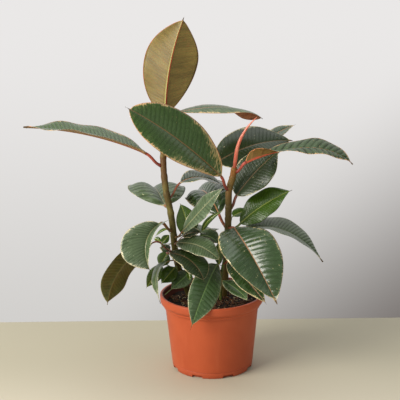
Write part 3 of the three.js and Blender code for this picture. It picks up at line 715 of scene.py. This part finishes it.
def leaf_axis(leaf):
    """The petiole's and the midrib's curves as functions from 0 to 1, in millimetres."""
    base, middle, tip = [Vector(p) for p in leaf["rib"]]
    control = middle * 2 - base * 0.5 - tip * 0.5
    joint, along_stem = stem_joint(leaf)
    towards = (base - joint).normalized()
    out = (towards - along_stem * towards.dot(along_stem)).normalized()
    leave = out.lerp(towards, PETIOLE_LEAN).normalized()
    start = joint + out * (STEMS[leaf["stem"]]["radius"][1] - 0.8)
    reach = (base - start).length * PETIOLE_REACH
    ahead = (control - base).normalized()
    guides = [start, start + leave * reach, base - ahead * reach, base]

    def petiole(t):
        u = 1 - t
        return (guides[0] * u ** 3 + guides[1] * 3 * u * u * t
                + guides[2] * 3 * u * t * t + guides[3] * t ** 3)

    def rib(t):
        u = 1 - t
        return base * u * u + control * 2 * u * t + tip * t * t

    return petiole, rib


def axis_frame(curve, t, face):
    """The directions to the side and up, square to a curve, where up is as near to face as it gets."""
    ahead = (curve(min(t + 0.005, 1.0)) - curve(max(t - 0.005, 0.0))).normalized()
    up = (face - ahead * face.dot(ahead)).normalized()
    return ahead.cross(up), up


def cross_places(half_steps):
    """Places across a blade, from -1 at one edge to 1 at the other, closest at the midrib."""
    shares = [0.0, 0.03, 0.07]
    shares += [0.07 + 0.93 * (k / (half_steps - 2)) ** 1.05 for k in range(1, half_steps - 1)]
    return [-s for s in reversed(shares[1:])] + shares


class LeafSkin:
    """One leaf's closed skin while it grows: its sizes, its points and what its looks read there."""

    def __init__(self, name, leaf):
        draw = random.Random(name)
        width = leaf["width"]
        self.leaf = leaf
        self.face = Vector(leaf["face"])
        self.petiole, self.rib = leaf_axis(leaf)
        self.length = sum((self.rib((k + 1) / 20) - self.rib(k / 20)).length for k in range(20))
        self.large = min(1.0, width / LARGE_WIDTH)
        self.rows = 150 if width > 50 else 80 if width > 25 else 40
        self.crosses = cross_places(14 if width > 30 else 8)
        self.sides = 2 * len(self.crosses) - 2
        self.spacing = leaf.get("spacing", max(2.5, self.length / VEIN_PAIRS))
        self.quilt = leaf.get("quilt", 0.45 * self.large)
        self.calms = (1.0, leaf["calm"])
        self.bow = leaf["bow"] + LEAST_BOW
        self.stalk = leaf.get("stalk", min(PETIOLE_WIDEST, width * PETIOLE_SHARE))
        self.phase = draw.random()
        self.waves = [(draw.uniform(1.5, 3.2), draw.random() * math.tau, draw.uniform(0.5, 1.0))
                      for _ in range(2)]
        self.seed = draw.random() * 9
        self.verts = []
        self.uvs = {"leaf": [], "flat": [], "edge": [], "tooth": []}

    def add(self, point, across, along, out, veins, edge):
        """One point with its shares, millimetres and vein number, scaled to fit a UV map."""
        # groove: how dark the painted shade in the vein grooves is, less on the calm half
        groove = self.leaf["groove"] * self.calms[across > 0]
        self.verts.append(point * MM)
        self.uvs["leaf"].append((across * 0.5 + 0.5, along))
        self.uvs["flat"].append((out / FLAT_SPAN, veins / FLAT_SPAN))
        self.uvs["edge"].append((edge / EDGE_SPAN, self.seed))
        self.uvs["tooth"].append((tooth_width(self.leaf, across, along) / EDGE_SPAN, groove))

    def add_petiole(self):
        """Rings round the leaf stalk, which is swollen at its foot."""
        for row in range(PETIOLE_ROWS):
            t = row / PETIOLE_ROWS
            side, up = axis_frame(self.petiole, t, self.face)
            radius = self.stalk * (1 + 0.35 * max(0.0, 1 - t * 6))
            for k in range(self.sides):
                turn = math.pi - k / self.sides * math.tau
                spot = (self.petiole(t) + side * (radius * math.cos(turn))
                        + up * (radius * math.sin(turn)))
                self.add(spot, math.cos(turn), t, self.stalk, t * 30, 0)

    def half_widths(self, along):
        """Millimetres from the midrib to each edge, and never less than the fading petiole."""
        leaf = self.leaf
        return [max(leaf["width"] / 2 * spread * outline(along, belly, leaf["taper"], leaf["drip"]),
                    self.stalk * (1 - along))
                for spread, belly in zip(leaf["spread"], leaf["belly"])]

    def height(self, across, along, half, vein, upper):
        """How far the skin stands off the blade's plane: pillows, waves, bow, midrib and thickness."""
        out = abs(across)
        fade = min(1.0, out / 0.12) * min(1.0, (1 - out) / 0.22)
        fade *= min(1.0, along / 0.08, (1 - along) / 0.12)
        pillow = abs(math.sin(math.pi * vein)) ** 0.7 - 0.6
        height = self.quilt * self.calms[across > 0] * pillow * fade
        for number, start, size in self.waves:
            wave = math.sin(number * math.tau * along + start + (2.0 if across < 0 else 0))
            height += 1.5 * self.large * size * across ** 2 * wave
        height += self.bow * half * math.sin(math.pi * min(1.0, out * 1.1))
        thickness = HALF_THICKNESS * (1 - out ** 4)
        if upper:
            height -= MIDRIB_GROOVE * math.exp(-(out * half / 1.2) ** 2) * self.large
            height += thickness
        else:
            keel = math.exp(-(out * half / (1.5 * self.large + 0.3)) ** 2) * (1 - along) ** 0.6
            height -= thickness + MIDRIB_KEEL * self.large * keel
        blade_share = min(1.0, along / 0.04)
        round_up = self.stalk * math.sqrt(max(0.0, 1 - across * across)) * (1 if upper else -1)
        return round_up * (1 - blade_share) + height * blade_share

    def add_blade(self):
        """Rings round the blade from base to tip, over the upper side and back underneath."""
        lifts = [self.leaf.get(half, self.leaf["lift"]) for half in ("left", "right")]
        ring = [(across, True) for across in self.crosses]
        ring += [(across, False) for across in reversed(self.crosses[1:-1])]
        for row in range(self.rows + 1):
            t = row / self.rows
            side, up = axis_frame(self.rib, t, self.face)
            halves = self.half_widths(t)
            for across, upper in ring:
                half = halves[across >= 0]
                reach = abs(across) * half
                lift = math.radians(spaced(lifts[across >= 0], t))
                vein = (t * self.length - VEIN_SLANT * reach) / self.spacing
                vein += self.phase + (0.5 if across < 0 else 0.0)
                height = self.height(across, t, half, vein, upper)
                spot = (self.rib(t) + side * (math.copysign(reach, across) * math.cos(lift))
                        + up * (reach * math.sin(lift) + height))
                self.add(spot, across, t, math.copysign(reach, across), vein, half - reach)

    def slots(self):
        """The look of each face: 0 is the upper side, 1 the underside and 2 the petiole."""
        upper = len(self.crosses) - 1
        blade_ring = [0] * upper + [1] * (self.sides - upper)
        return [2] * (PETIOLE_ROWS * self.sides) + blade_ring * self.rows + [2, 0]


def build_leaf(name, leaf):
    """One leaf: a round petiole that widens into a quilted, ribbed blade."""
    skin = LeafSkin(name, leaf)
    skin.add_petiole()
    skin.add_blade()
    faces = skin_faces(PETIOLE_ROWS + skin.rows + 1, skin.sides)
    looks = KINDS[leaf["kind"]]
    piece = mesh_piece(name + "_leaf", skin.verts, faces,
                       [looks["upper"], looks["under"], looks["petiole"]], skin.slots(), skin.uvs)
    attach(piece, "root")
    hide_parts(name)


# ---------------------------------------------------------------- stems, bud

def tube_piece(name, points, radius_at, material, sides=20, rings=140):
    """A closed tube along a smooth line, with a radius that changes on the way."""
    line = [catmull(points, ring / (rings - 1)) for ring in range(rings)]
    verts = []
    for ring, centre in enumerate(line):
        ahead = (line[min(ring + 1, rings - 1)] - line[max(ring - 1, 0)]).normalized()
        side = Vector((0, -1, 0)).cross(ahead).normalized()
        up = side.cross(ahead)
        for k in range(sides):
            turn = k / sides * math.tau
            radius = radius_at(ring / (rings - 1), turn)
            verts.append((centre + side * radius * math.cos(turn) + up * radius * math.sin(turn)) * MM)
    faces = [tuple(reversed(face)) for face in skin_faces(rings, sides)]
    return mesh_piece(name, verts, faces, [material])


def build_stem(name, stem, material):
    """A stem that tapers upward, with a raised scar ring at each node and slightly uneven bark."""
    draw = random.Random(name)
    foot, top = stem["radius"]
    rings = [(k + 0.7 + draw.uniform(-0.2, 0.2)) / stem["nodes"] for k in range(stem["nodes"])]

    def radius_at(share, turn):
        radius = foot + (top - foot) * share
        for ring in rings:
            radius += 0.09 * foot * math.exp(-((share - ring) / 0.011) ** 2)
            radius -= 0.05 * foot * math.exp(-((share - ring - 0.022) / 0.008) ** 2)
        bark = noise.noise(Vector((math.cos(turn) * 2, math.sin(turn) * 2, share * 30)))
        return radius * (1 + 0.04 * bark)

    piece = tube_piece(name + "_bark", [Vector(p) for p in stem["points"]], radius_at, material)
    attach(piece, "root")
    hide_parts(name)


def build_bud():
    """The rolled sheath at the right stem's top, pleated and drawn out to a point."""
    def radius_at(share, turn):
        pleat = 1 + 0.05 * math.cos(turn * 2 + share * 5)
        swell = 0.92 + 0.16 * math.sin(math.pi * share)
        return (BUD_RADIUS * (1 - share ** 2.2) * swell + 0.2) * pleat

    piece = tube_piece("bud_sheath_skin", [Vector(p) for p in BUD_POINTS], radius_at, bud_look(), 24, 80)
    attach(piece, "root")
    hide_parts("bud_sheath")


# ---------------------------------------------------------------- pot and soil

def arc(centre, radius, start, end, steps):
    """Points on a circle in the pot's half section, angles in degrees."""
    turns = [math.radians(start + (end - start) * k / steps) for k in range(steps + 1)]
    return [(centre[0] + radius * math.cos(a), centre[1] + radius * math.sin(a)) for a in turns]


def ring_line(height):
    """A fine groove round the tapering wall."""
    radius = BASE_RADIUS + (WALL_RADIUS - BASE_RADIUS) * height / BAND_BOTTOM
    return [(radius, height - 1 * MM), (radius - 0.45 * MM, height),
            (radius + 0.25 * MM, height + 0.5 * MM)]


def circle(radius, height, sides):
    """Points round a level circle on the pot's axis."""
    turns = [side / sides * math.tau for side in range(sides)]
    return [(radius * math.cos(turn), radius * math.sin(turn), height) for turn in turns]


def pot_profile():
    """Half section of the pot from the underside's centre, up outside, over the lip and down inside."""
    foot = arc((BASE_RADIUS - 1.5 * MM, 1.5 * MM), 1.5 * MM, -90, 0, 4)
    step = arc((BAND_RADIUS - 1 * MM, BAND_BOTTOM + 1 * MM), 1 * MM, -90, 0, 3)
    lip_low = arc((RIM_RADIUS - 7 * MM, POT_HEIGHT - 8 * MM), 7 * MM, -40, 0, 8)
    lip_top = arc((RIM_RADIUS - 2 * MM, POT_HEIGHT - 2 * MM), 2 * MM, 0, 90, 6)
    inner = arc((RIM_RADIUS - 3.2 * MM, POT_HEIGHT - 1.4 * MM), 1.4 * MM, 90, 180, 4)
    return ([(0, 1.2 * MM), (BASE_RADIUS * 0.82, 1.2 * MM), (BASE_RADIUS * 0.86, 0)]
            + foot + ring_line(9 * MM) + [(WALL_RADIUS, BAND_BOTTOM - 0.4 * MM)] + step
            + [(BAND_RADIUS + 0.2 * MM, BAND_TOP), (BAND_RADIUS + 1.4 * MM, BAND_TOP + 1.2 * MM)]
            + lip_low + lip_top + inner
            + [(RIM_RADIUS - 4.8 * MM, BAND_TOP + 6 * MM), (BAND_RADIUS - WALL_THICKNESS, BAND_TOP),
               (WALL_RADIUS - WALL_THICKNESS, BAND_BOTTOM - 2 * MM),
               (BASE_RADIUS - WALL_THICKNESS, FLOOR_THICKNESS), (0, FLOOR_THICKNESS)])


def notch_cutter():
    """Blocks that cut the drain notches out of the pot's bottom edge."""
    verts, faces = [], []
    for notch in range(NOTCH_COUNT):
        turn = (notch + 0.5) / NOTCH_COUNT * math.tau
        out = Vector((math.cos(turn), math.sin(turn), 0))
        side = Vector((-out.y, out.x, 0))
        first = len(verts)
        for depth in (-NOTCH_DEPTH, NOTCH_DEPTH):
            for across, height in ((-1.1, -1), (1.1, -1), (0.95, 1), (-0.95, 1)):
                verts.append(out * (BASE_RADIUS + depth) + side * across * NOTCH_HALF_WIDTH
                             + Vector((0, 0, height * NOTCH_HEIGHT)))
        faces += [tuple(first + k for k in face) for face in (
            (3, 2, 1, 0), (4, 5, 6, 7), (1, 5, 4, 0), (2, 6, 5, 1), (3, 7, 6, 2), (0, 4, 7, 3))]
    return mesh_piece("notch_cutter", verts, faces, [], smooth=False)


def build_pot():
    """The pot as one turned moulding with the notches cut out, and painted shade darkening its inside."""
    profile = pot_profile()
    rows = len(profile) - 2
    verts = [point for radius, height in profile[1:-1] for point in circle(radius, height, POT_SIDES)]
    faces = skin_faces(rows, POT_SIDES)
    inner_row = max(range(rows), key=lambda row: profile[row + 1][1])
    slots = [1 if face // POT_SIDES > inner_row else 0 for face in range(len(faces))]
    slots[-2] = 0
    # the inside look is the same plastic darkened to 0.3 as painted shade
    looks = [pot_look("pot_plastic", 1.0), pot_look("pot_inside_painted_shade", 0.3)]
    pot = mesh_piece("pot_moulding", verts, faces, looks, slots)
    cutter = notch_cutter()
    cut = pot.modifiers.new("notches", "BOOLEAN")
    cut.object = cutter
    cut.operation = "DIFFERENCE"
    cut.solver = "EXACT"
    apply_modifiers(pot)
    bpy.data.objects.remove(cutter)
    pot.data.shade_smooth()
    pot.data.set_sharp_from_angle(angle=math.radians(38))
    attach(pot, "root")
    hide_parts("pot")


def apply_modifiers(piece):
    """Keeps what a piece's modifiers make of its mesh, and drops them."""
    graph = bpy.context.evaluated_depsgraph_get()
    made = bpy.data.meshes.new_from_object(piece.evaluated_get(graph))
    piece.modifiers.clear()
    piece.data = made


def soil_height(x, y):
    """Height of the soil's surface: a low mound, lower at the wall, with crumbs."""
    share = min(1.0, math.hypot(x, y) / SOIL_RADIUS)
    mound = SOIL_TOP - 5 * MM * share ** 1.6
    lumps = noise.noise(Vector((x * 60, y * 60, 0.3))) * 1.4 * MM
    crumbs = noise.noise(Vector((x * 330, y * 330, 4.1))) * 0.9 * MM
    return min(mound + lumps + crumbs - 0.6 * MM, SOIL_TOP + 1.5 * MM)


def build_soil():
    """The root ball: a lumpy top that follows soil_height, on a plain cone down to the pot's floor."""
    verts = [(0, 0, soil_height(0, 0))]
    for ring in range(1, SOIL_RINGS + 1):
        radius = (SOIL_RADIUS - 3.2 * MM) * ring / SOIL_RINGS
        verts += [(x, y, soil_height(x, y)) for x, y, _ in circle(radius, 0, SOIL_SIDES)]
    verts += circle(BASE_RADIUS - 3 * MM, FLOOR_THICKNESS + 1 * MM, SOIL_SIDES)
    faces = [(0, 1 + side, 1 + (side + 1) % SOIL_SIDES) for side in range(SOIL_SIDES)]
    for ring in range(SOIL_RINGS):
        for side in range(SOIL_SIDES):
            a = 1 + ring * SOIL_SIDES + side
            b = 1 + ring * SOIL_SIDES + (side + 1) % SOIL_SIDES
            faces.append((a, a + SOIL_SIDES, b + SOIL_SIDES, b))
    faces.append(tuple(reversed([1 + SOIL_RINGS * SOIL_SIDES + side for side in range(SOIL_SIDES)])))
    soil = mesh_piece("soil_mix", verts, faces, [soil_look()])
    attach(soil, "root")
    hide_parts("soil")


def build_chips(name, count, size_range, stretch, material, draw):
    """Small irregular chips scattered on the soil, joined into one piece."""
    corners = [Vector(c).normalized() for c in (
        (1, 1, 1), (1, -1, -1), (-1, 1, -1), (-1, -1, 1), (1, 1, -1), (1, -1, 1), (-1, 1, 1), (-1, -1, -1))]
    quads = ((0, 4, 2, 6), (0, 5, 1, 4), (0, 6, 3, 5), (7, 2, 4, 1), (7, 3, 6, 2), (7, 1, 5, 3))
    verts, faces = [], []
    for _ in range(count):
        radius = (SOIL_RADIUS - 8 * MM) * math.sqrt(draw.random())
        turn = draw.random() * math.tau
        x, y = radius * math.cos(turn), radius * math.sin(turn)
        size = draw.uniform(*size_range) * MM
        spin = Matrix.Rotation(draw.random() * math.tau, 3, "Z")
        spin = spin @ Matrix.Rotation(draw.uniform(-0.5, 0.5), 3, "X")
        first = len(verts)
        for corner in corners:
            jitter = 1 + draw.uniform(-0.3, 0.3)
            shape = Vector((corner.x * stretch, corner.y, corner.z * 0.6)) * size * jitter
            verts.append(spin @ shape + Vector((x, y, soil_height(x, y) + size * 0.15)))
        faces += [tuple(first + k for k in quad) for quad in quads]
    piece = mesh_piece(name, verts, faces, [material], smooth=False)
    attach(piece, "root")


# ---------------------------------------------------------------- the set

def backdrop_look():
    """A pale wall that glows, with painted shade darker low down and a painted shadow of the plant towards
    the lower right.
    """
    look = Shader("backdrop_paint", Roughness=1.0, Specular_IOR_Level=0.0)
    x, y, z = look.split(look.place())
    # painted shade: darker low down
    colour = look.tint(srgb(207, 205, 202), srgb(234, 232, 231), z, -1.2, 0.4)
    # painted shadow of the plant, towards the lower right
    corner = look.minus(look.times(x, 0.8), z)
    colour = look.tint(colour, srgb(96, 88, 84), corner, 0.4, 1.8, 0.9)
    look.principled.inputs["Base Color"].default_value = (0, 0, 0, 1)
    look.feed(look.principled.inputs["Emission Color"], colour)
    look.principled.inputs["Emission Strength"].default_value = 1.0
    return look.material


def glowing_world():
    """White light from all round, which looks brighter to the camera than it shines."""
    world = bpy.data.worlds.new("studio")
    bpy.context.scene.world = world
    world.use_nodes = True
    tree = world.node_tree
    background = tree.nodes["Background"]
    background.inputs[0].default_value = (1.0, 1.0, 1.0, 1)
    glow = tree.nodes.new("ShaderNodeMapRange")
    glow.inputs["To Min"].default_value = WORLD_STRENGTH
    glow.inputs["To Max"].default_value = WORLD_SEEN
    direct = tree.nodes.new("ShaderNodeLightPath").outputs["Is Camera Ray"]
    tree.links.new(direct, glow.inputs["Value"])
    tree.links.new(glow.outputs[0], background.inputs[1])


def build_set():
    """Pale table that ends just behind the plant, a far pale wall, soft light and the camera."""
    table_corners = [(-4, -2.5, 0), (4, -2.5, 0), (4, TABLE_BACK, 0), (-4, TABLE_BACK, 0)]
    wall_corners = [(-8, WALL_BACK, -5), (8, WALL_BACK, -5), (8, WALL_BACK, 5), (-8, WALL_BACK, 5)]
    table = mesh_piece("table_top", table_corners, [(0, 1, 2, 3)], [table_look()])
    wall = mesh_piece("backdrop", wall_corners, [(0, 1, 2, 3)], [backdrop_look()])
    glowing_world()
    for name, light in LIGHTS.items():
        add_light(name, **light)
    bpy.context.scene.view_settings.view_transform = "Standard"
    camera_data = bpy.data.cameras.new("camera")
    camera_data.lens = CAMERA_LENS
    camera = bpy.data.objects.new("camera", camera_data)
    bpy.context.collection.objects.link(camera)
    camera.matrix_world = camera_place()
    bpy.context.scene.camera = camera


def add_light(name, place, power, size, colour):
    """A square soft light that shines at the plant's middle."""
    data = bpy.data.lights.new(name, "AREA")
    data.energy = power
    data.size = size
    data.color = colour
    lamp = bpy.data.objects.new(name, data)
    lamp.location = place
    lamp.rotation_euler = (Vector(LIT_PLACE) - Vector(place)).to_track_quat("-Z", "Y").to_euler()
    bpy.context.collection.objects.link(lamp)


def camera_place():
    """The camera's matrix, from its height, distance and turns."""
    pitch, yaw, roll = (math.radians(v) for v in (CAMERA_PITCH, CAMERA_YAW, CAMERA_ROLL))
    ahead = Vector((math.sin(yaw) * math.cos(pitch), math.cos(yaw) * math.cos(pitch), -math.sin(pitch)))
    right = Vector((math.cos(yaw), -math.sin(yaw), 0))
    up = right.cross(ahead)
    turned_right = right * math.cos(roll) - up * math.sin(roll)
    turned_up = right * math.sin(roll) + up * math.cos(roll)
    place = Matrix((turned_right, turned_up, -ahead)).transposed().to_4x4()
    place.translation = Vector((0, -CAMERA_DISTANCE, CAMERA_HEIGHT))
    return place


# ---------------------------------------------------------------- build everything

build_set()
build_pot()
build_soil()
scatter = random.Random(11)
build_chips("bark_chips", count=420, size_range=(1.0, 2.8), stretch=1.9,
            material=chip_look("bark", (28, 17, 9), (104, 64, 30)), draw=scatter)
build_chips("pale_specks", count=260, size_range=(0.5, 1.2), stretch=1.3,
            material=chip_look("specks", (150, 128, 84), (210, 196, 160)), draw=scatter)
STEM_LOOKS = {
    "stem_left": stem_look("stem_bark", (84, 76, 30), (104, 72, 40), (124, 116, 58),
                           split_height=0.27, spread=0.05),
    "stem_right": stem_look("stem_bark_right", (84, 70, 24), (148, 96, 38), (116, 104, 50),
                            split_height=0.27, spread=0.03),
}
shoot_look = stem_look("shoot_bark", (84, 96, 38), (96, 118, 44), (130, 140, 70),
                       split_height=0.15, spread=0.03)
for stem_name, stem_facts in STEMS.items():
    build_stem(stem_name, stem_facts, STEM_LOOKS.get(stem_name, shoot_look))
build_bud()
for leaf_name, leaf_facts in LEAVES.items():
    build_leaf(leaf_name, leaf_facts)
